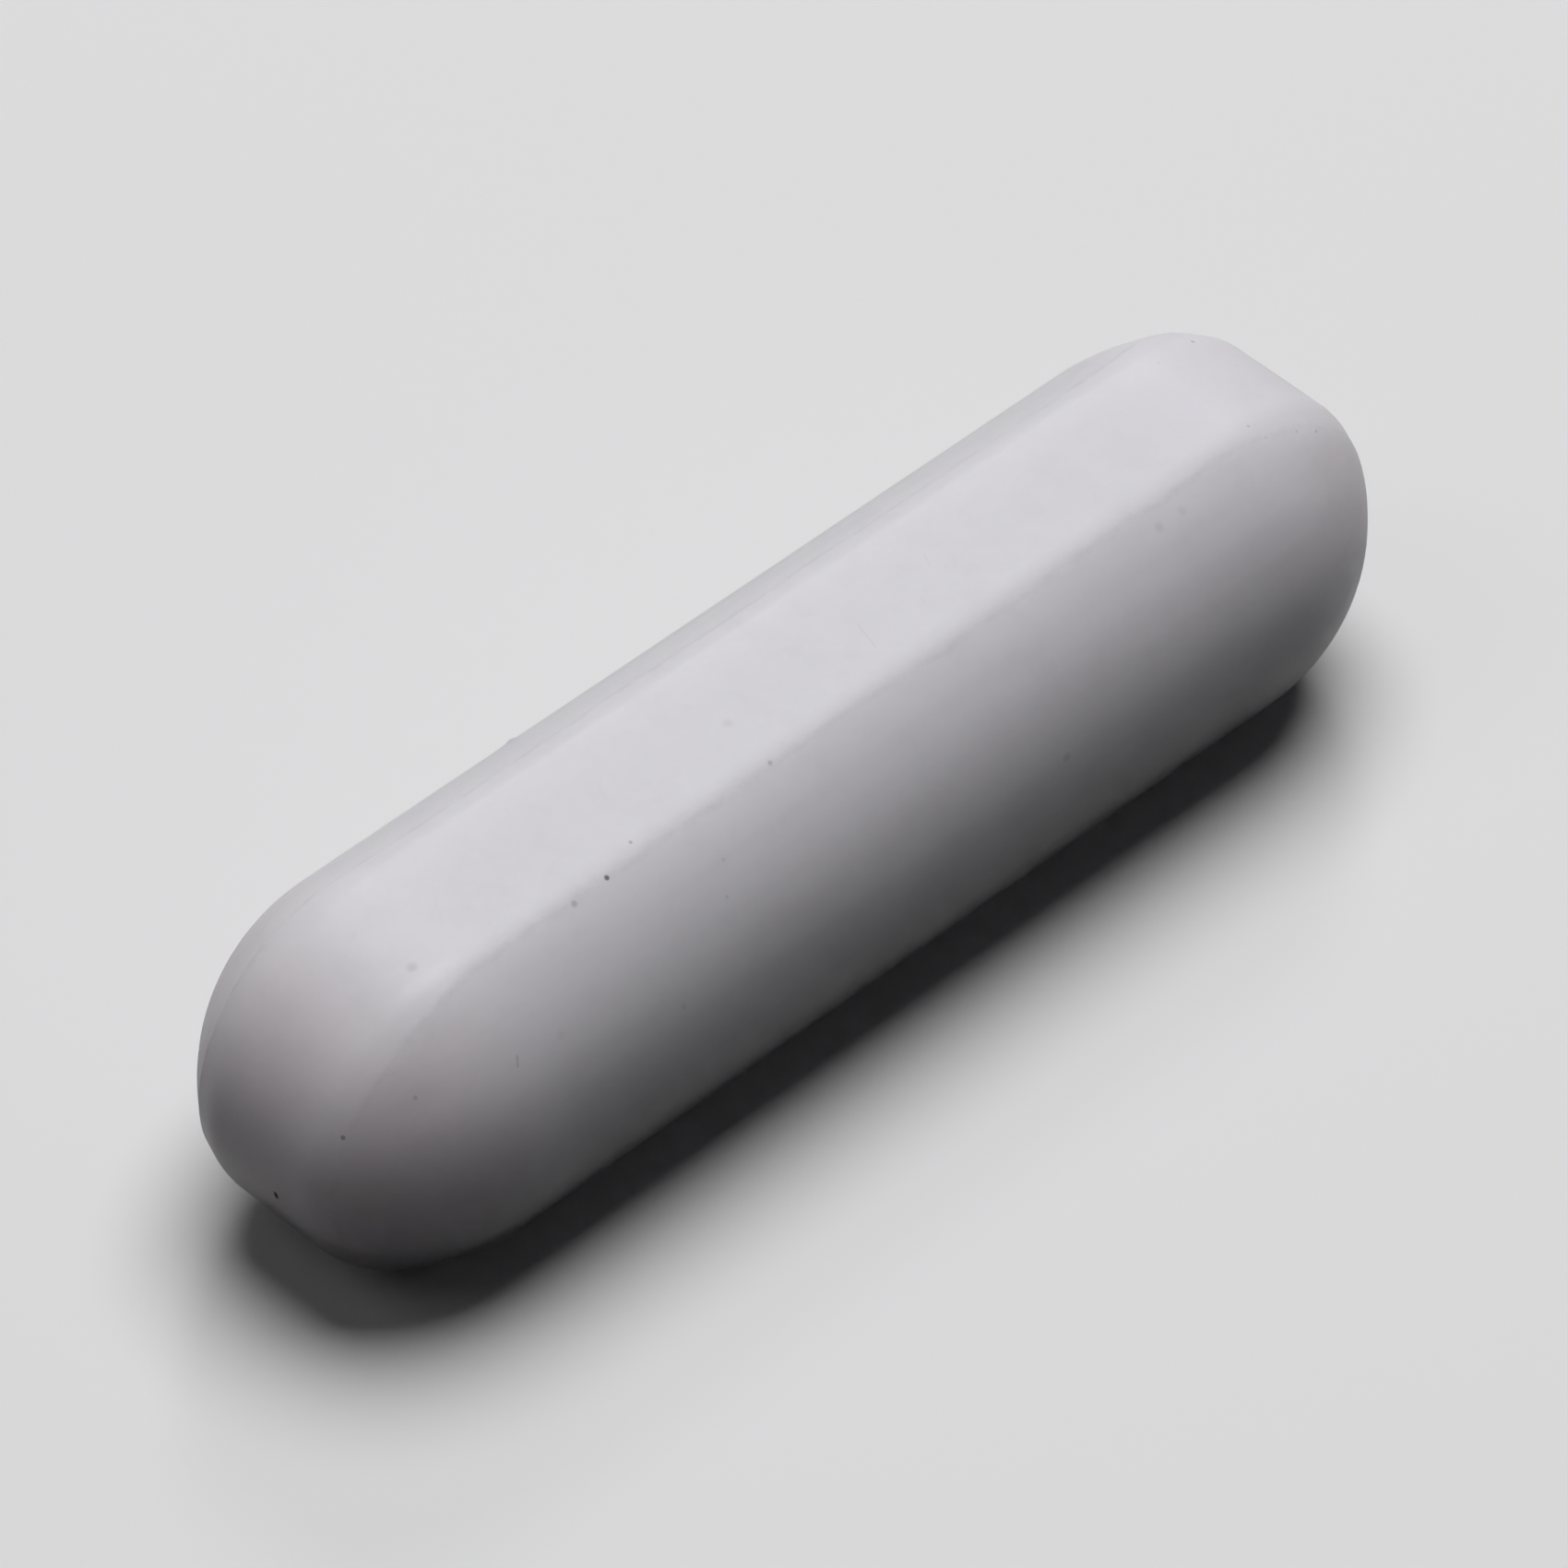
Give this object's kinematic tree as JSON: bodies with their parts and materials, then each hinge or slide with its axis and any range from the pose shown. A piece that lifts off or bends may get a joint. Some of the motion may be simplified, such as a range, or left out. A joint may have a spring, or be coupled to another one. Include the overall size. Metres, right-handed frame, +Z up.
{
  "type": "magnetic stir bar",
  "caption": "White moulded stir bar with a rod magnet sealed inside, rounded at both ends, with a flat strip running lengthwise all round.",
  "frame": {"origin": "middle of the lower flat that the bar rests on", "axes": "+X along the bar from tip to tip, +Y across the bar towards one round side, +Z up from the lower flat to the upper flat"},
  "size_m": [0.03, 0.008, 0.0079],
  "materials": {
    "jacket": "smooth waxy white fluoropolymer with a soft satin sheen",
    "magnet": "ground cast alloy"
  },
  "bodies": {
    "root": {"jacket": "jacket", "magnet": "magnet"}
  },
  "joints": []
}
